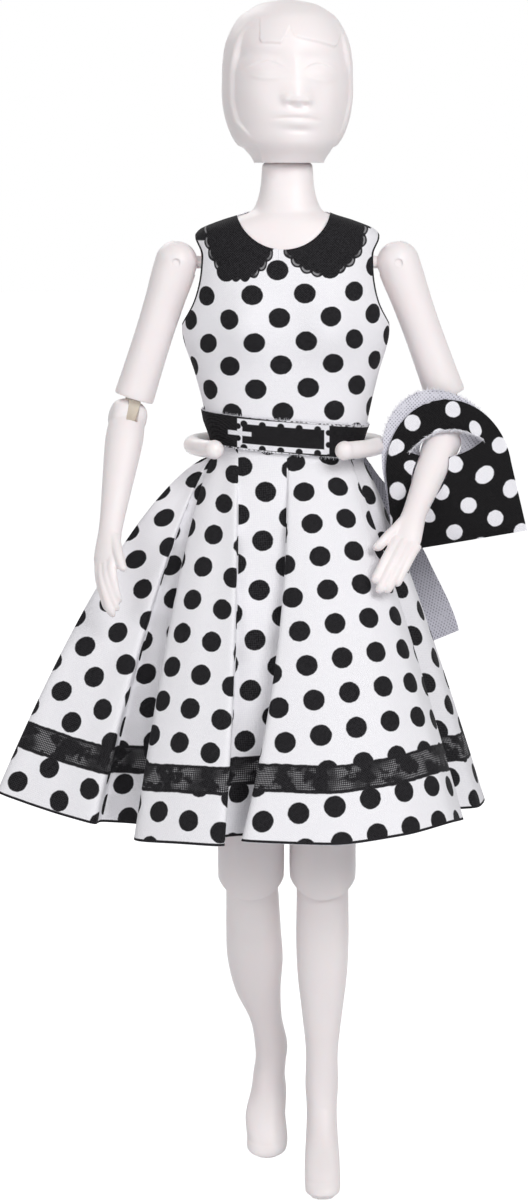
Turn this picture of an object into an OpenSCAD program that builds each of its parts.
// Fashion mannequin doll in a dotted dress with a belt, a bag on the left forearm and a waist clip.
// Millimetres, Z up, the doll faces -Y, its left side is +X.
// Heights are above the toe line. The whole part is moved so that the clip's socket mouth is the origin.

/* [Heights above the toe line] */
// Shoulder pivots
shoulder_z = 228; // [227:0.5:229]
// Seam between the bodice and the skirt
waist_z = 184; // [183:0.5:185]
// Hip pivots
hip_z = 159.5; // [158:0.5:160]
// Knee pivots
knee_z = 80; // [76:0.5:82]
// Lowest line of the skirt
hem_z = 96; // [92:0.5:102]

/* [Body] */
// Half distance between the shoulder pivots
shoulder_x = 26.6; // [26.5:0.1:28]
// Half distance between the hip pivots
hip_x = 10.8; // [10.5:0.1:11.5]
// Half distance between the knee pivots
knee_x = 8.8; // [8.6:0.1:9.4]
// Knee pivot behind the middle plane, negative is in front
knee_y = -2.5; // [-4:0.1:-1.5]
// How far the bust stands out
bust_out = 3.2; // [2:0.1:4.5]

/* [Head and neck] */
// Flat underside of the head above the shoulder pivots
neck_up = 23.7; // [22:0.1:25]
// Head height above its flat underside
head_h = 38.5; // [36:0.5:41]
// Turn of the head to the doll's left
head_turn = 11; // [-30:1:30]
// Depth of the face below the hair
face_inset = 1.3; // [0.6:0.1:1.8]
// How far the nose stands out
nose_out = 3.2; // [2:0.1:4]
// Neck ball radius
neck_ball_r = 5.2; // [4.6:0.1:5.4]
// Neck ball height above the underside of the head
neck_ball_up = 6.8; // [6.4:0.1:7.2]
// Neck peg radius
neck_peg_r = 2.5; // [2:0.1:2.8]
// Socket insert outer radius
insert_r = 7.4; // [7:0.1:7.6]

/* [Arms] */
// Shoulder pivot to elbow pivot
upper_arm_len = 39.3; // [38:0.1:40]
// Elbow pivot to wrist
forearm_len = 31.4; // [30:0.1:33]
// Wrist to the middle fingertip
hand_len = 20.5; // [18:0.1:22]
// Left upper arm outward from hanging
left_upper_out = 20.2; // [18:0.1:26]
// Left upper arm forward from hanging
left_upper_forward = -2; // [-4:0.1:2]
// Left forearm outward from hanging
left_fore_out = -24.3; // [-26:0.1:-20]
// Left forearm forward from hanging
left_fore_forward = 37.8; // [36:0.1:42]
// Right upper arm outward from hanging
right_upper_out = 17.8; // [17:0.1:26]
// Right upper arm forward from hanging
right_upper_forward = 0; // [-2:0.1:4]
// Right forearm outward from hanging
right_fore_out = 7.9; // [7:0.1:14]
// Right forearm forward from hanging
right_fore_forward = 33.1; // [30:0.1:40]
// Turn of the left palm toward the body
left_palm_turn = 5; // [0:1:60]
// Turn of the right palm toward the body
right_palm_turn = 38; // [0:1:60]
// Shoulder dome radius
shoulder_r = 5.2; // [4.8:0.1:5.5]
// Upper arm radius at the middle
upper_arm_r = 4.6; // [4.2:0.1:5]
// Forearm radius below the elbow
forearm_r = 4.5; // [4.2:0.1:4.6]
// Finger radius
finger_r = 1.12; // [1.05:0.01:1.2]
// Thumb radius
thumb_r = 1.35; // [1.2:0.05:1.5]
// Sleeve end above the elbow pivot
sleeve_gap = 4.9; // [4.8:0.1:5.6]
// Shoulder ball radius
shoulder_ball_r = 3.6; // [3:0.1:3.8]
// Shoulder ball distance from the middle
shoulder_ball_x = 16.4; // [16:0.1:16.8]
// Shoulder rod radius
shoulder_rod_r = 1.5; // [1.2:0.1:1.7]
// Shoulder eye radius
shoulder_eye_r = 2.7; // [2.4:0.1:2.9]
// Shoulder eye thickness
shoulder_eye_t = 3; // [2.4:0.1:3.4]
// Shoulder pin radius
shoulder_pin_r = 1; // [0.7:0.05:1.2]
// Elbow knuckle radius
elbow_r = 4.5; // [4.2:0.1:4.6]
// Elbow knuckle width
elbow_w = 9.4; // [8.6:0.1:9.8]
// Elbow tongue thickness
tongue_t = 2.8; // [2.2:0.1:3.2]
// Elbow tongue radius
tongue_r = 2.6; // [2.2:0.1:2.8]
// Elbow pin radius
elbow_pin_r = 0.8; // [0.6:0.05:1]
// Elbow link stem radius
stem_r = 1.9; // [1.5:0.1:2.2]
// Elbow link stem length above the sleeve end
stem_len = 9; // [7:0.5:11]

/* [Legs] */
// Hip ball radius
hip_ball_r = 6; // [5.6:0.1:6.2]
// Hip pin below the hip ball
hip_drop = 13.5; // [13:0.1:14.5]
// Hip tongue thickness
hip_tongue_t = 4; // [3.4:0.1:4.6]
// Hip tongue half width
hip_tongue_r = 3.2; // [2.8:0.1:3.4]
// Hip pin radius
hip_pin_r = 1.2; // [0.9:0.05:1.4]
// Hip pin length
hip_pin_len = 15; // [13:0.5:16]
// Thigh half width at the knee
knee_side = 8.15; // [8:0.05:8.4]
// Lower leg half width in the knee slot
knee_half_w = 6.4; // [6:0.1:6.6]
// Lower leg knuckle radius
knuckle_r = 6.3; // [6:0.1:6.5]
// Lower leg knuckle half width where it is full
knuckle_flat = 4.2; // [3.8:0.1:4.4]
// Lower leg knuckle radius at its ends
knuckle_end_r = 4.6; // [4.4:0.1:4.8]
// Gap between the knuckle and the knee slot
knee_gap = 0.35; // [0.3:0.05:0.45]
// Knee pin radius
knee_pin_r = 1.2; // [0.9:0.05:1.4]
// Backward bend of the right knee
right_knee_bend = 20; // [0:1:30]
// Right ankle toward the other foot
right_ankle_in = 5; // [0:0.5:6]

/* [Clothes] */
// Cloth thickness
cloth_t = 0.7; // [0.5:0.1:0.8]
// Gap between the body and the bodice
bodice_gap = 0.4; // [0.3:0.1:0.6]
// Neckline circle radius
neckline_r = 12.5; // [11:0.5:14]
// Armhole radius
armhole_r = 5.7; // [5.6:0.1:6.4]
// Reach of the hem to the doll's right
skirt_reach_x = 70; // [67:0.5:74]
// Reach of the hem to the front
skirt_reach_y = 56; // [54:0.5:60]
// Skirt cloth thickness in this solid
skirt_t = 0.9; // [0.7:0.1:1.1]
// Upright skirt band under the waist seam
skirt_band = 2.5; // [2:0.1:3]
// Half width of the skirt's back opening
slit_half_w = 4; // [3.6:0.1:5]
// Length of the skirt's back opening
slit_len = 54; // [52:0.5:60]
// Belt height
belt_h = 7; // [6:0.1:8]
// Belt middle above the waist seam
belt_up = 2.2; // [2:0.1:2.8]
// Belt drop toward the doll's left, per mm
belt_tilt = 0.1; // [0:0.01:0.12]
// Belt tail length
tail_len = 46; // [40:1:52]
// Closure strip half angle at the back
closure_half_a = 14; // [8:1:20]
// Closure strip height
closure_h = 34; // [24:1:36]

/* [Bag] */
// Bag body height to the top of the front panel
bag_h = 34.5; // [33:0.5:36]
// Back panel taller than the front
bag_back_up = 2.6; // [2:0.1:4]
// Half width at the bottom
bag_half_w = 16.3; // [15:0.1:16.8]
// Lean of the bag to the doll's right
bag_lean = 9.5; // [8:0.5:12]
// Bag cloth thickness
bag_t = 0.8; // [0.6:0.1:1]
// Hand hole half length
hole_half_w = 9.4; // [8.5:0.1:9.6]
// Hand hole height
hole_h = 5.4; // [5:0.1:6]
// Gap between the forearm and the hole
bag_arm_gap = 0.9; // [0.7:0.1:1.2]
// Where the bag hangs on the forearm, from the elbow pivot
bag_hang = 13; // [12.5:0.1:13.5]

/* [Waist clip] */
// Ring radius at the middle of the bar
clip_r = 22.6; // [22.4:0.1:23]
// Bar radius
clip_bar_r = 2.1; // [1.8:0.1:2.4]
// Socket bore radius
socket_r = 2.6; // [2:0.1:3]
// Socket depth
socket_depth = 13; // [9:0.5:13.5]
// Socket wall
socket_wall = 2.2; // [1.6:0.1:2.6]
// Socket axis behind the middle of the bar
socket_behind = 2.4; // [2:0.1:2.8]
// Socket mouth below the middle of the bar
socket_down = 8; // [7:0.5:9]

/* [Hidden] */
$fn = 48;
run_gap = 0.05;
seat_gap = 0.05;
slot_gap = 0.4;
layer_gap = 0.1;
pin_inset = 0.6;
body_power = 0.87;
clip_x = -0.4;
clip_z = waist_z;
socket_y = clip_r + socket_behind;
socket_z = clip_z - socket_down;
socket_cap = 2;
origin_at = [0, socket_y, socket_z];
white = [0.95, 0.94, 0.94];
beige = [0.85, 0.81, 0.75];
cloth_white = [0.93, 0.92, 0.95];
black = [0.14, 0.14, 0.15];
shoulder_l = [shoulder_x, 0, shoulder_z];
shoulder_rt = [-shoulder_x, 0, shoulder_z];
left_upper = arm_dir(1, left_upper_out, left_upper_forward);
left_fore = arm_dir(1, left_fore_out, left_fore_forward);
right_upper = arm_dir(-1, right_upper_out, right_upper_forward);
right_fore = arm_dir(-1, right_fore_out, right_fore_forward);
elbow_l = shoulder_l + upper_arm_len * left_upper;
elbow_rt = shoulder_rt + upper_arm_len * right_upper;
hip_pin_z = hip_z - hip_drop;
head_base_z = shoulder_z + neck_up;
neck_ball_z = head_base_z + neck_ball_up;
neck_top_z = head_base_z + 0.6;
neck_peg_down = 13;
neck_flange_out = 1.1;
neck_flange_h = 2;
neck_flange_z = neck_top_z - 11;
trunk_hollow_r = 7;
pelvis_z = hip_z - 4;
thigh_top = hip_pin_z + 4.5;
knuckle_slot_r = knuckle_r + knee_gap;
stem_foot = 0.3;
barb_out = 0.7;
barb_h = 2.5;
belt_z = waist_z + belt_up;
bag_at = elbow_l + bag_hang * left_fore;
bag_foot = bag_at + [5.7, -0.9, -20.5];

function unit(v) = v / norm(v);

// Direction of an arm piece that is swung outward and forward from hanging
function arm_dir(s, outward, forward) =
    [s * sin(outward) * cos(forward), -sin(forward), -cos(outward) * cos(forward)];

// Frame at a point with its z axis along up and its x axis as near across as it can be
function frame_at(up, across, at) =
    let (z = unit(up), x = unit(across - z * (across * z)), y = cross(z, x))
    [[x[0], y[0], z[0], at[0]], [x[1], y[1], z[1], at[1]], [x[2], y[2], z[2], at[2]], [0, 0, 0, 1]];

function hinge_of(upper, fore) = unit(cross(upper, fore));

// Smooth curve through four values
function smooth4(a, b, c, d, t) =
    b + (c - a) * t / 2
    + (2 * a - 5 * b + 4 * c - d) * pow(t, 2) / 2
    + (3 * b - a - 3 * c + d) * pow(t, 3) / 2;

// Row of a table at a height, where each row starts with its height and the heights fall
function row_at(rows, z, i = 0) =
    i >= len(rows) - 2 || z >= rows[i + 1][0]
    ? let (t = (z - rows[i][0]) / (rows[i + 1][0] - rows[i][0]),
            above = rows[max(i - 1, 0)], below = rows[min(i + 2, len(rows) - 1)])
        smooth4(above, rows[i], rows[i + 1], below, max(0, min(1, t)))
    : row_at(rows, z, i + 1);

function power_of(v, e) = sign(v) * pow(abs(v), e);

// Heights from the top row of a table to the bottom row, split into equal steps between rows
function levels_of(rows, per) =
    concat([for (i = [0:len(rows) - 2], k = [0:per - 1])
            rows[i][0] + (rows[i + 1][0] - rows[i][0]) * k / per],
        [rows[len(rows) - 1][0]]);

// Closed ring of a limb row: height, centre x, centre y, half width, front depth, back depth
function limb_ring(rows, z, sides, e) =
    let (r = row_at(rows, z))
    [for (k = [0:sides - 1]) let (a = 360 * k / sides)
        [r[1] + r[3] * power_of(cos(a), e), r[2] + (sin(a) < 0 ? r[4] : r[5]) * power_of(sin(a), e), z]];

// Solid through rings of points, rings from top to bottom, points anticlockwise from above
module loft(rings) {
    rows = len(rings);
    cols = len(rings[0]);
    skin = [for (i = [0:rows - 2], j = [0:cols - 1], k = [0, 1])
        let (a = i * cols + j, b = i * cols + (j + 1) % cols)
        k == 0 ? [a, b, b + cols] : [a, b + cols, a + cols]];
    top = [[for (j = [cols - 1:-1:0]) j]];
    bottom = [[for (j = [0:cols - 1]) (rows - 1) * cols + j]];
    polyhedron(points = [for (r = rings) each r], faces = concat(skin, top, bottom), convexity = 6);
}

module limb(rows, per, sides, e = 1) {
    loft([for (z = levels_of(rows, per)) limb_ring(rows, z, sides, e)]);
}

// Solid between an outer and an inner grid of points, rows from top to bottom, columns anticlockwise
module shell(outer, inner, closed) {
    rows = len(outer);
    cols = len(outer[0]);
    n = rows * cols;
    last = closed ? cols - 1 : cols - 2;
    skin = [for (i = [0:rows - 2], j = [0:last], k = [0, 1])
        let (a = i * cols + j, b = i * cols + (j + 1) % cols)
        k == 0 ? [a, b, b + cols] : [a, b + cols, a + cols]];
    back = [for (f = skin) [f[2] + n, f[1] + n, f[0] + n]];
    rims = [for (j = [0:last], k = [0:3])
        let (a = j, b = (j + 1) % cols, d = n - cols + j, c = n - cols + (j + 1) % cols)
        k == 0 ? [b, a, a + n] : k == 1 ? [b, a + n, b + n] : k == 2 ? [d, c, c + n] : [d, c + n, d + n]];
    sides = closed ? [] : [for (i = [0:rows - 2], k = [0:3])
        let (a = i * cols, d = a + cols, b = a + cols - 1, c = b + cols)
        k == 0 ? [a, d, d + n] : k == 1 ? [a, d + n, a + n] : k == 2 ? [c, b, b + n] : [c, b + n, c + n]];
    polyhedron(points = concat([for (r = outer) each r], [for (r = inner) each r]),
        faces = concat(skin, back, rims, sides), convexity = 8);
}

module place() {
    translate(-origin_at) children();
}

module along_x(r, len) {
    rotate([0, 90, 0]) cylinder(r = r, h = len, center = true);
}

module along_y(r, len) {
    rotate([90, 0, 0]) cylinder(r = r, h = len, center = true);
}

// Torso rows: height, half width, front depth, back depth
torso_rows = [
    [neck_top_z, 5, 5, 5], [neck_top_z - 1.2, 6, 6, 6], [neck_top_z - 6, 6.4, 6.5, 6.3],
    [neck_top_z - 9.5, 7.2, 7.4, 7], [shoulder_z + 12, 9, 8.2, 7.8], [shoulder_z + 10, 15, 9.4, 9],
    [shoulder_z + 8, 19.8, 10.2, 9.6], [shoulder_z + 5.5, 21.4, 11, 10.2],
    [shoulder_z + 2, 20.8, 11.8, 10.8], [shoulder_z - 6, 20.9, 12.6, 11],
    [shoulder_z - 16, 22.7, 13.4, 11], [shoulder_z - 26, 20.8, 12.4, 10.4],
    [waist_z + 6, 18.4, 11.2, 9.8], [waist_z, 16.6, 10.8, 9.8],
    [waist_z - 8, 17.8, 11, 10.4], [hip_z + 6, 20, 11.4, 12.4],
    [pelvis_z + 3, 19.6, 10.6, 12], [pelvis_z, 17.8, 9, 10.6]];
bust_x = 9.6;
bust_z = shoulder_z - 15;
bust_w = 6.5;
bust_h = 8;

// Low round hill over a plane, with a given middle and widths
function dome(x, h, cx, ch, wx, wh) = exp(-pow((x - cx) / wx, 2) - pow((h - ch) / wh, 2));

function bust_at(x, z) =
    bust_out * (dome(x, z, bust_x, bust_z, bust_w, bust_h) + dome(x, z, -bust_x, bust_z, bust_w, bust_h));

// Point of the body at a height and an angle, a cloth's distance off the skin
function body_point(z, a, off) =
    let (r = row_at(torso_rows, z), x = (r[1] + off) * power_of(cos(a), body_power),
        y = ((sin(a) < 0 ? r[2] : r[3]) + off) * power_of(sin(a), body_power))
    [x, y - (sin(a) < 0 ? bust_at(x, z) * sqrt(-sin(a)) : 0), z];

// Rows that the torso and the bodice share
dress_levels = [for (k = [0:16]) shoulder_z + 12 + (waist_z + 0.2 - shoulder_z - 12) * k / 16];
torso_levels = concat(
    [neck_top_z, neck_top_z - 0.5, neck_top_z - 1.2, neck_top_z - 5, neck_top_z - 8.5],
    dress_levels,
    [waist_z - 4, waist_z - 8, hip_z + 11, hip_z + 6, pelvis_z + 5, pelvis_z + 2, pelvis_z]);
torso_sides = 16;

module torso_half(start) {
    difference() {
        loft([for (z = torso_levels)
            [for (k = [0:torso_sides]) body_point(z, start + 180 * k / torso_sides, 0)]]);
        // Neck peg bore and the chamber of its flange
        translate([0, 0, neck_top_z - neck_peg_down - 1])
            cylinder(r = neck_peg_r + run_gap, h = neck_peg_down + 6);
        translate([0, 0, neck_flange_z - layer_gap])
            cylinder(r = neck_peg_r + neck_flange_out + run_gap, h = neck_flange_h + 2 * layer_gap);
        for (s = [-1, 1]) {
            // Shoulder ball socket and rod bore
            translate([s * shoulder_ball_x, 0, shoulder_z]) sphere(r = shoulder_ball_r + run_gap);
            translate([s * (shoulder_ball_x + 6), 0, shoulder_z]) along_x(shoulder_rod_r + run_gap, 12);
            // Hip ball socket
            translate([s * hip_x, 0, hip_z]) sphere(r = hip_ball_r + run_gap);
        }
        // Hollow of the trunk
        translate([0, 0, hip_z + 10]) cylinder(r = trunk_hollow_r, h = shoulder_z - hip_z - 8);
    }
}

module torso_front() {
    color(white) place() torso_half(180);
}

module torso_back() {
    color(white) place() torso_half(0);
}

module neck_ball() {
    color(white) place() union() {
        translate([0, 0, neck_top_z - neck_peg_down])
            cylinder(r = neck_peg_r, h = neck_ball_z - neck_top_z + neck_peg_down);
        translate([0, 0, neck_flange_z]) cylinder(r = neck_peg_r + neck_flange_out, h = neck_flange_h);
        translate([0, 0, neck_ball_z]) sphere(r = neck_ball_r);
    }
}

insert_z = head_base_z + 2.6;
insert_h = 10.4;
insert_top = insert_z + insert_h;
vent_r = 3;

module head_socket() {
    color(white) place() difference() {
        translate([0, 0, insert_z]) cylinder(r = insert_r, h = insert_h);
        translate([0, 0, neck_ball_z]) sphere(r = neck_ball_r + run_gap);
        // Flared mouth, which the peg leans against at the ends of the nod
        translate([0, 0, insert_z - 1])
            cylinder(r1 = neck_peg_r + 2.1, r2 = neck_peg_r + 1.1, h = neck_ball_z - insert_z - 1.5);
        translate([0, 0, neck_ball_z]) cylinder(r = vent_r, h = insert_h);
    }
}

// Head rows: share of the head's height, half width, front depth, back depth
head_rows = [
    [1, 1.2, 1.2, 1.2], [0.977, 6.2, 6.5, 6.8], [0.935, 9.4, 10, 10.6], [0.878, 12, 13, 13.8],
    [0.753, 14.5, 16, 16.6], [0.631, 15.4, 17, 17.6], [0.512, 15.6, 16.8, 17.6], [0.39, 15.6, 16.2, 17],
    [0.265, 14.8, 15.4, 15.4], [0.143, 12.9, 13.8, 12.4], [0.04, 9.6, 11, 9.6], [0, 8.8, 9.8, 9]];
head_half_w = 15.6;
head_hollow_r = 9.5;
head_hollow_z = head_base_z + 0.58 * head_h;
fringe_h = 28.6;
fringe_notch = 3;
face_half_a = 58;

function step_at(edge, w, v) = let (t = max(0, min(1, (v - edge) / w + 0.5))) t * t * (3 - 2 * t);

// Face below the hair line: inset, nose, eyes, lips and chin, by angle from the front and height
function face_at(a, h) =
    let (x = head_half_w * sin(a), hair_line = fringe_h + (abs(x) < 0.6 ? fringe_notch : 0),
        open = (1 - step_at(face_half_a, 9, abs(a))) * (1 - step_at(hair_line, 1.6, h)),
        nose = nose_out * exp(-pow(x / 2, 2)) * exp(-pow((h - 15.2) / (h < 15.2 ? 1.6 : 5.2), 2)),
        eyes = 0.9 * dome(abs(x), h, 6.4, 22, 2.8, 1.6) - 1.4 * dome(abs(x), h, 6, 22.6, 3.8, 3),
        lips = 1.1 * dome(x, h, 0, 10.4, 4, 0.9) + 1.2 * dome(x, h, 0, 8.4, 3.6, 0.9),
        chin = 0.9 * dome(x, h, 0, 3.4, 5, 2.6))
    open * (nose + eyes + lips + chin - face_inset);

head_sides = 48;
head_steps = 34;
crown = 0.12;

// Shares of the head's height, closer together at the crown
head_levels = [for (k = [0:head_steps]) let (t = k / head_steps)
    1 - (t < crown ? 0.4 * t : 0.4 * crown + (t - crown) * (1 - 0.4 * crown) / (1 - crown))];

function head_ring(t) =
    let (r = row_at(head_rows, t), h = t * head_h)
    [for (k = [0:head_sides - 1])
        let (a = 360 * k / head_sides, front = a > 180 ? abs(a - 270) : 180,
            out = front < 90 ? face_at(a - 270, h) : 0)
        [r[1] * cos(a) + out * cos(a), (sin(a) < 0 ? r[2] : r[3]) * sin(a) + out * sin(a), h]];

module head() {
    color(white) place() difference() {
        translate([0, 0, head_base_z]) rotate([0, 0, head_turn])
            loft([for (t = head_levels) head_ring(t)]);
        translate([0, 0, head_base_z - 1])
            cylinder(r = insert_r + seat_gap, h = insert_top + 1 - head_base_z);
        translate([0, 0, insert_z]) cylinder(r = vent_r, h = head_hollow_z - insert_z);
        translate([0, 0, head_hollow_z]) sphere(r = head_hollow_r);
    }
}

module shoulder_link(s) {
    color(white) place() difference() {
        union() {
            translate([s * shoulder_ball_x, 0, shoulder_z]) rotate([0, 0, 90]) sphere(r = shoulder_ball_r);
            translate([s * (shoulder_ball_x + shoulder_x) / 2, 0, shoulder_z])
                along_x(shoulder_rod_r, shoulder_x - shoulder_ball_x);
            translate([s * shoulder_x, 0, shoulder_z]) along_y(shoulder_eye_r, shoulder_eye_t);
        }
        translate([s * shoulder_x, 0, shoulder_z]) along_y(shoulder_pin_r + run_gap, shoulder_eye_t + 2);
    }
}

module shoulder_pin(s) {
    color(white) place() translate([s * shoulder_x, 0, shoulder_z])
        along_y(shoulder_pin_r, 2 * (shoulder_r - pin_inset));
}

shoulder_slot_r = shoulder_eye_r + 0.35;
upper_arm_end = upper_arm_len - sleeve_gap;

// Half outline of the upper arm, turned about its own axis
function upper_arm_outline() = concat(
    [for (a = [90:-10:0]) [shoulder_r * cos(a), shoulder_r * sin(a)]],
    [[shoulder_r - 0.1, -4], [upper_arm_r + 0.2, -9], [upper_arm_r, -upper_arm_end / 2],
        [upper_arm_r + 0.1, -upper_arm_end + 7], [upper_arm_r + 0.25, -upper_arm_end + 0.5],
        [upper_arm_r, -upper_arm_end], [0, -upper_arm_end]]);

module upper_arm(s, upper, fore, shoulder) {
    color(white) place() difference() {
        multmatrix(frame_at(-upper, hinge_of(upper, fore), shoulder)) difference() {
            rotate_extrude() polygon(upper_arm_outline());
            // Bore and chamber of the elbow link
            translate([0, 0, -upper_arm_end - 1])
                cylinder(r = stem_r + run_gap, h = stem_len + 1 + seat_gap);
            translate([0, 0, -upper_arm_end + stem_len - barb_h - run_gap])
                cylinder(r = stem_r + barb_out, h = barb_h + 2 * run_gap);
        }
        // Slot of the shoulder eye, open toward the body and the top
        translate(shoulder) {
            along_y(shoulder_slot_r, shoulder_eye_t + 2 * run_gap);
            along_y(shoulder_pin_r, 4 * shoulder_r);
            for (a = [0, 30, 60])
                rotate([0, s * a, 0]) translate([-s * shoulder_r, 0, 0])
                    cube([2 * shoulder_r, shoulder_eye_t + 2 * run_gap, 2 * shoulder_slot_r], center = true);
        }
    }
}

module elbow_link(upper, fore, elbow) {
    color(beige) place() multmatrix(frame_at(-upper, hinge_of(upper, fore), elbow)) difference() {
        union() {
            translate([0, 0, sleeve_gap - stem_foot]) cylinder(r = stem_r, h = stem_len + stem_foot);
            translate([0, 0, sleeve_gap + stem_len - barb_h])
                cylinder(r = stem_r + barb_out - run_gap, h = barb_h);
            translate([-tongue_t / 2, -tongue_r, 0]) cube([tongue_t, 2 * tongue_r, sleeve_gap - stem_foot]);
            along_x(tongue_r, tongue_t);
        }
        along_x(elbow_pin_r + run_gap, tongue_t + 2);
    }
}

module elbow_pin(upper, fore, elbow) {
    color(white) place() multmatrix(frame_at(-upper, hinge_of(upper, fore), elbow))
        along_x(elbow_pin_r, elbow_w - 2 * pin_inset);
}

// Forearm rows: height, centre x, centre y, half width, front depth, back depth
forearm_top = -1.5;
forearm_rows = [
    [forearm_top, 0, 0, forearm_r, 4.1, 4.1], [-8, 0, 0, forearm_r, forearm_r - 0.1, forearm_r - 0.1],
    [-15, 0, 0, forearm_r - 0.5, forearm_r - 0.6, forearm_r - 0.6],
    [-forearm_len + 9, 0, 0, 3.4, 3.3, 3.3], [-forearm_len + 1, 0, 0, 3, 2.8, 2.8],
    [-forearm_len - 4, 0.2, 0, 3.7, 2.4, 2.3], [-forearm_len - 9, 0, 0.2, 4, 2.1, 2],
    [-forearm_len - 12, 0, 0.4, 3.5, 1.5, 1.5]];

finger_step = 1.85;
finger_short = [1.2, 0, 0.6, 2.4];

// Finger from a root to a tip with a bend toward the palm
module finger(root, tip, r, bend) {
    loft([for (t = [0, 0.3, 0.6, 0.85, 1])
        let (c = root + (tip - root) * t + [0, bend * t * t, 0], w = r * (t < 0.9 ? 1 - 0.25 * t : 0.4))
        [for (k = [0:7]) c + w * [cos(45 * k), sin(45 * k), 0]]]);
}

module forearm(s, upper, fore, elbow, palm_turn) {
    hinge = hinge_of(upper, fore);
    color(white) place() difference() {
        union() {
            // Skin of the forearm and hand as one piece, the thumb toward the body
            multmatrix(frame_at(-fore, [cos(palm_turn), s * sin(palm_turn), 0], elbow)) scale([s, 1, 1])
                resize([0, 0, forearm_len + hand_len + forearm_top]) union() {
                    limb(forearm_rows, 2, 16);
                    for (k = [0:3])
                        finger([2.85 - finger_step * k, 0.3, -forearm_len - 9],
                            [2.65 - finger_step * k, 0.8, -forearm_len - hand_len + finger_short[k]],
                            finger_r, 0.8);
                    finger([-2.6, -0.4, -forearm_len - 2.5], [-5, -1.6, -forearm_len - 12.5], thumb_r, 0.6);
                }
            multmatrix(frame_at(-fore, hinge, elbow)) along_x(elbow_r, elbow_w);
        }
        multmatrix(frame_at(-fore, hinge, elbow)) {
            translate([0, 0, 10 - tongue_r - slot_gap])
                cube([tongue_t + 2 * run_gap, 30, 20], center = true);
            along_x(elbow_pin_r, elbow_w - 2 * pin_inset);
        }
    }
}

module hip_link(s) {
    color(white) place() difference() {
        union() {
            translate([s * hip_x, 0, hip_z]) sphere(r = hip_ball_r);
            translate([s * hip_x, 0, hip_z - hip_drop / 2])
                cube([2 * hip_tongue_r, hip_tongue_t, hip_drop], center = true);
            translate([s * hip_x, 0, hip_pin_z]) along_y(hip_tongue_r, hip_tongue_t);
        }
        translate([s * hip_x, 0, hip_pin_z]) along_y(hip_pin_r + run_gap, hip_tongue_t + 2);
    }
}

module hip_pin(s) {
    color(white) place() translate([s * hip_x, 0, hip_pin_z]) along_y(hip_pin_r, hip_pin_len);
}

// Thigh rows of the left leg: height, centre x, centre y, half width, front depth, back depth
thigh_rows = [
    [thigh_top, hip_x, 0, 6.4, 6.4, 6.4], [thigh_top - 1.4, hip_x, 0, 8.8, 8.6, 8.8],
    [thigh_top - 7, hip_x, 0, 9.2, 9.4, 9.6], [thigh_top - 21, hip_x - 0.3, -0.2, 9.4, 9.6, 9.8],
    [knee_z + 28, 9.8, -1.2, 8.9, 9.2, 9], [knee_z + 14, 9.1, -2, 8.3, 8.7, 8.1],
    [knee_z + 6, knee_x, knee_y, knee_side, 8.8, 7.6], [knee_z, knee_x, knee_y, knee_side, 9.2, 7.2],
    [knee_z - 7, knee_x, knee_y, knee_side - 0.35, 8.9, 6]];
knee_slot_w = 2 * (knee_half_w + knee_gap);
knee_pin_len = 2 * (knee_side - pin_inset);
kneecap_r = 9.6;
kneecap_up = 3.4;
hip_slot_h = 16;
hip_slot_w = 2 * hip_tongue_r + 4.2;

// Half outline of the knee's barrel along its pin, with a gap round it: radius, place
function barrel_side(gap) = [[knuckle_end_r + gap, -knee_half_w - gap], [knuckle_r + gap, -knuckle_flat - gap],
    [knuckle_r + gap, knuckle_flat + gap], [knuckle_end_r + gap, knee_half_w + gap]];

module knee_barrel(gap) {
    w = knee_half_w + gap;
    rotate([0, 90, 0]) rotate_extrude() polygon(concat([[0, -w]], barrel_side(gap), [[0, w]]));
}

module thigh(s) {
    color(white) place() scale([s, 1, 1]) difference() {
        intersection() {
            limb(thigh_rows, 2, 20, 0.8);
            // Round lower edge of the kneecap
            translate([knee_x, 0, knee_z + kneecap_up]) union() {
                along_y(kneecap_r, 60);
                translate([0, 0, 50]) cube([60, 60, 100], center = true);
            }
        }
        // Slot of the hip tongue
        translate([hip_x, 0, hip_pin_z]) {
            translate([0, 0, hip_slot_h / 2 - hip_tongue_r - slot_gap])
                cube([hip_slot_w, hip_tongue_t + 2 * run_gap, hip_slot_h], center = true);
            along_y(hip_pin_r, hip_pin_len);
        }
        // Slot of the lower leg, open to the rear and below
        translate([knee_x, knee_y, knee_z]) {
            knee_barrel(knee_gap);
            translate([0, 15, knuckle_slot_r - 20]) cube([knee_slot_w, 30, 40], center = true);
            translate([0, 0, -40]) linear_extrude(40) polygon(concat(
                [for (p = barrel_side(knee_gap)) [p[1], -p[0]]],
                [[knee_slot_w / 2, 30], [-knee_slot_w / 2, 30]]));
            along_x(knee_pin_r, knee_pin_len);
        }
    }
}

module knee_pin(s) {
    color(white) place() translate([s * knee_x, knee_y, knee_z]) along_x(knee_pin_r, knee_pin_len);
}

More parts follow.
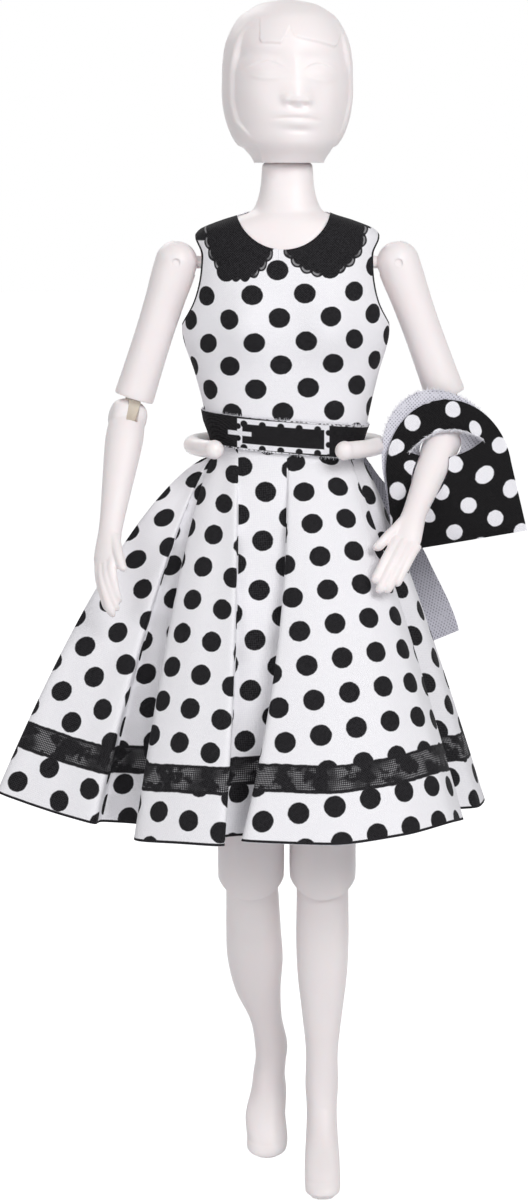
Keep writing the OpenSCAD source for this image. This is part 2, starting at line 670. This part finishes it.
// Lower leg rows below the knee pivot: height, centre x, centre y, half width, front depth, back depth
function lower_leg_rows(inward) = [
    [-2, 0, 0, knee_half_w, 6, 6], [-8, -0.1 * inward, 0, knee_half_w, 5.8, 6.6],
    [-18, -0.25 * inward, 0.4, 6.5, 5.6, 7.6], [-27, -0.4 * inward, 1, 6.1, 5.3, 7.2],
    [-37, -0.6 * inward, 2.2, 5, 4.6, 5.6], [-47, -0.8 * inward, 3.4, 4, 4, 4.4],
    [-56, -inward, 4.4, 4.1, 4.2, 4.4], [-61, -inward, 4.2, 3.8, 4.8, 5.4],
    [-64.5, -inward, 2.8, 3.8, 5.6, 6.4], [-68, -1.1 * inward, 0, 4, 5.6, 5.4],
    [-72, -1.1 * inward, -5, 4.3, 4.8, 4.8], [-76, -1.2 * inward, -9, 4.4, 4.6, 4.8],
    [-78.4, -1.2 * inward, -10.8, 4.2, 4.4, 4.4], [-79.6, -1.2 * inward, -11.4, 2.8, 3, 3]];

module lower_leg(s, bend, inward) {
    color(white) place() translate([s * knee_x, knee_y, knee_z]) rotate([bend, 0, 0]) scale([s, 1, 1])
        difference() {
            union() {
                limb(lower_leg_rows(inward), 2, 16, 0.92);
                knee_barrel(0);
            }
            along_x(knee_pin_r + run_gap, 2 * knee_half_w + 2);
        }
}

dress_sides = 32;
armhole_x = 20;
armhole_up = 1;
armhole_down = 9;
back_cut_w = 0.8;

function dress_grid(off) = [for (z = dress_levels)
    [for (k = [0:dress_sides - 1]) body_point(z, 360 * k / dress_sides, off)]];

module bodice() {
    color(cloth_white) place() difference() {
        shell(dress_grid(bodice_gap + cloth_t), dress_grid(bodice_gap), true);
        // Neckline at the front
        translate([0, -20, shoulder_z + 15]) along_y(neckline_r, 40);
        // Armholes
        for (s = [-1, 1]) {
            for (z = [armhole_up, -armhole_down])
                translate([s * armhole_x, 0, shoulder_z + z]) along_x(armhole_r, 24);
            translate([s * armhole_x, 0, shoulder_z + (armhole_up - armhole_down) / 2])
                cube([24, 2 * armhole_r, armhole_up + armhole_down], center = true);
        }
        // Opening down the back
        translate([0, 20, shoulder_z - 20]) cube([back_cut_w, 40, 100], center = true);
    }
}

closure_top = shoulder_z + 4;

// Strip over the back opening at a distance off the skin
function closure_grid(off) = [for (k = [0:8])
    [for (j = [-3:3]) body_point(closure_top - closure_h * k / 8, 90 + closure_half_a * j / 3, off)]];

// Layer of the closure, counted outward from the bodice
module closure_strip(layer) {
    off = bodice_gap + layer * (cloth_t + layer_gap);
    color(cloth_white) place() shell(closure_grid(off + cloth_t), closure_grid(off), false);
}

// Hem corners anticlockwise from above, from the back middle: angle at the waist, share of the reach
// in x, share of the reach in y, lift
hem_points = [
    [90, 0, 0.732, 0], [108, -0.2, 0.804, 0], [122, -0.4, 0.75, 0], [127, -0.343, 0.589, 0],
    [134, -0.5, 0.661, 0], [148, -0.686, 0.536, 0], [160, -0.814, 0.357, 1], [165, -0.686, 0.25, 1],
    [172, -0.843, 0.196, 2], [182, -1, 0, 4], [194, -0.886, -0.25, 2], [207, -0.757, -0.464, 1],
    [218, -0.62, -0.643, 0.5], [223, -0.507, -0.536, 0.5], [227, -0.503, -0.714, -1],
    [239, -0.364, -0.848, -0.8], [252, -0.194, -0.929, -0.5], [257, -0.15, -0.661, -0.5],
    [262, -0.106, -0.929, 1], [280, 0.169, -1, 0.6], [298, 0.4, -0.839, 0.6], [312, 0.543, -0.589, 0.6],
    [322, 0.594, -0.429, 0.6], [328, 0.471, -0.304, 0.6], [338, 0.507, -0.196, 0.6],
    [350, 0.664, -0.089, 1], [364, 0.7, 0.125, 1], [378, 0.629, 0.357, 0.5], [384, 0.514, 0.357, 0],
    [391, 0.571, 0.518, 0], [406, 0.471, 0.714, 0], [422, 0.271, 0.821, 0], [427, 0.229, 0.661, 0],
    [434, 0.171, 0.75, 0]];

// Hem as a smooth closed curve through its corners, rounded a little at each
hem_per = 2;
function hem_corner(i) = let (n = len(hem_points), h = hem_points[(i + n) % n])
    [h[0] + 360 * floor(i / n), h[1] * skirt_reach_x, h[2] * skirt_reach_y, h[3]];
function hem_curve() = [for (i = [0:len(hem_points) - 1], k = [0:hem_per - 1])
    let (q = hem_corner(i), r = hem_corner(i + 1), t = k / hem_per)
    (q + (r - q) * t) * 0.45 + smooth4(hem_corner(i - 1), q, r, hem_corner(i + 2), t) * 0.55];
hem = hem_curve();
skirt_top_z = waist_z - 0.1;
skirt_flare_z = skirt_top_z - skirt_band;
slit_point = 6;
skirt_rows = [0, 0.07, 0.18, 0.35, 0.56, 0.78, 1];
skirt_curve = 0.85;

// Skirt grid with a given cloth offset along the hem's own outward direction
function skirt_grid(off, waist_off) =
    let (n = len(hem), waist = [for (p = hem) body_point(waist_z, p[0], waist_off)],
        out = [for (j = [0:n - 1]) let (d = hem[(j + 1) % n] - hem[(j + n - 1) % n]) unit([d[2], -d[1]])])
    concat([[for (w = waist) [w[0], w[1], skirt_top_z]]],
        [for (s = skirt_rows) [for (j = [0:n - 1])
            let (w = waist[j], e = pow(s, skirt_curve), h = [hem[j][1], hem[j][2]] + out[j] * off)
            [w[0] * (1 - e) + h[0] * e, w[1] * (1 - e) + h[1] * e,
                skirt_flare_z * (1 - s) + (hem_z + hem[j][3]) * s]]]);

right_seam = 9;
left_seam = 26;

// Columns of a grid between two of the hem's corners
function between(grid, from, to) = let (n = len(grid[0]))
    [for (row = grid) [for (j = [from * hem_per:to * hem_per]) row[j % n]]];

// Skirt panel between two corners of the hem, sewn to the next one along its straight sides
module skirt_panel(from, to) {
    color(cloth_white) place() difference() {
        shell(between(skirt_grid(skirt_t / 2, bodice_gap + cloth_t), from, to),
            between(skirt_grid(-skirt_t / 2, bodice_gap), from, to), false);
        // Opening down the back, which lets a post reach the clip's socket
        translate([0, 60, skirt_top_z]) rotate([90, 0, 0]) linear_extrude(60)
            polygon([[-slit_half_w, 1], [-slit_half_w, -slit_len + slit_point], [0, -slit_len],
                [slit_half_w, -slit_len + slit_point], [slit_half_w, 1]]);
    }
}

belt_sides = 40;
belt_half_w = 18;
function belt_ring(up, off) = [for (k = [0:belt_sides - 1])
    let (a = 360 * k / belt_sides)
    body_point(belt_z + up - belt_tilt * belt_half_w * cos(a), a, off)];

module belt() {
    gap = bodice_gap + cloth_t + 2 * layer_gap;
    color(black) place() shell(
        [for (k = [0:3]) belt_ring(belt_h / 2 - belt_h * k / 3, gap + cloth_t)],
        [for (k = [0:3]) belt_ring(belt_h / 2 - belt_h * k / 3, gap)], true);
}

// Tail path from under the belt to its loose end: share of the length left, x, y
tail_rows = [[1, 14.6, 9.4], [0.9, 17, 12.2], [0.75, 22.5, 15.2], [0.4, 31, 15], [0, 39, 14]];
tail_half_w = 0.47 * belt_h;
tail_turn = 0.9;
tail_rise = 1.7;
tail_top_z = belt_z - 5.2;
function tail_grid(off) = [for (k = [0:8]) let (t = k / 8, r = row_at(tail_rows, 1 - t))
    [for (w = [1, 0, -1])
        [r[1] + w * tail_half_w, r[2] - w * tail_turn + off, tail_top_z - tail_len * t + w * tail_rise]]];

module belt_tail() {
    color(black) place() shell(tail_grid(cloth_t), tail_grid(0), false);
}

clip_from = -52;
clip_sweep = 273;
clip_bead = 0.2;

module waist_clip() {
    color(white) place() difference() {
        union() {
            translate([clip_x, 0, clip_z]) {
                rotate([0, 0, clip_from]) rotate_extrude(angle = clip_sweep)
                    translate([clip_r, 0]) circle(r = clip_bar_r);
                for (a = [clip_from, clip_from + clip_sweep])
                    rotate([0, 0, a]) translate([clip_r, 0, 0]) sphere(r = clip_bar_r + clip_bead);
            }
            translate([0, socket_y, socket_z])
                cylinder(r = socket_r + socket_wall, h = socket_depth + socket_cap);
        }
        translate([0, socket_y, socket_z - 1]) cylinder(r = socket_r, h = socket_depth + 1);
    }
}

// Bag panel in its own frame: x across, z up from the bottom seam, y back
bag_mid_h = 17;
bag_taper = 1.2;
bag_full_h = 26;
bag_seam = 0.5;
bag_hole_x = 0.8;
hole_round = 2;
front_deep = 2.4;
back_deep = 4;
front_hole_z = 21.6;
back_hole_z = 24.2;

// Half width of a panel at a height, straight below and round above
function bag_half(z, h) = z < bag_mid_h
    ? bag_half_w - bag_taper * z / bag_mid_h
    : (bag_half_w - bag_taper) * sqrt(max(0.02, 1 - pow((z - bag_mid_h) / (h - bag_mid_h), 2)));
function bag_bulge(z, deep) = deep * pow(sin(min(180, 180 * pow(max(0, z) / bag_full_h, 0.8))), 0.7);
function bag_grid(h, side, off, deep) = [for (k = [0:12])
    let (t = k / 12, z = h * (1 - t * t * (1.4 - 0.4 * t)), w = bag_half(z, h))
    [for (j = [-6:6]) let (u = j / 6, y = (1 - u * u) * (bag_seam + bag_bulge(z, deep)) + seat_gap + off)
        [u * w, side * y, z]]];

module bag_panel(h, side, deep, hole_z) {
    color(black) place() difference() {
        translate(bag_foot) rotate([0, -bag_lean, 0]) difference() {
            if (side < 0) {
                shell(bag_grid(h, side, bag_t, deep), bag_grid(h, side, 0, deep), false);
            } else {
                shell(bag_grid(h, side, 0, deep), bag_grid(h, side, bag_t, deep), false);
            }
            // Crescent hand hole
            translate([bag_hole_x, 10, hole_z]) rotate([90, 0, 0]) linear_extrude(20) intersection() {
                translate([0, hole_h - hole_half_w - hole_round]) circle(r = hole_half_w + hole_round);
                translate([-hole_half_w, 0]) square([2 * hole_half_w, hole_h + 1]);
            }
        }
        // Clear way for the forearm
        multmatrix(frame_at(-left_fore, [1, 0, 0], elbow_l)) translate([0, 0, -forearm_len])
            cylinder(r = forearm_r + bag_arm_gap, h = forearm_len);
    }
}

module bag_front() {
    bag_panel(bag_h, -1, front_deep, front_hole_z);
}

module bag_back() {
    bag_panel(bag_h + bag_back_up, 1, back_deep, back_hole_z);
}

head();
head_socket();
neck_ball();
torso_front();
torso_back();
shoulder_link(1);  // shoulder_link_left
shoulder_link(-1);  // shoulder_link_right
shoulder_pin(1);  // shoulder_pin_left
shoulder_pin(-1);  // shoulder_pin_right
upper_arm(1, left_upper, left_fore, shoulder_l);  // upper_arm_left
upper_arm(-1, right_upper, right_fore, shoulder_rt);  // upper_arm_right
elbow_link(left_upper, left_fore, elbow_l);  // elbow_link_left
elbow_link(right_upper, right_fore, elbow_rt);  // elbow_link_right
elbow_pin(left_upper, left_fore, elbow_l);  // elbow_pin_left
elbow_pin(right_upper, right_fore, elbow_rt);  // elbow_pin_right
forearm(1, left_upper, left_fore, elbow_l, left_palm_turn);  // forearm_left
forearm(-1, right_upper, right_fore, elbow_rt, right_palm_turn);  // forearm_right
hip_link(1);  // hip_link_left
hip_link(-1);  // hip_link_right
hip_pin(1);  // hip_pin_left
hip_pin(-1);  // hip_pin_right
thigh(1);  // thigh_left
thigh(-1);  // thigh_right
knee_pin(1);  // knee_pin_left
knee_pin(-1);  // knee_pin_right
lower_leg(1, 0, 0);  // lower_leg_left
lower_leg(-1, right_knee_bend, right_ankle_in);  // lower_leg_right
bodice();
skirt_panel(right_seam, left_seam);  // skirt_front
skirt_panel(0, right_seam);  // skirt_back_right
skirt_panel(left_seam, len(hem_points));  // skirt_back_left
closure_strip(1);  // closure_loop
closure_strip(2);  // closure_hook
belt();
belt_tail();
waist_clip();
bag_front();
bag_back();
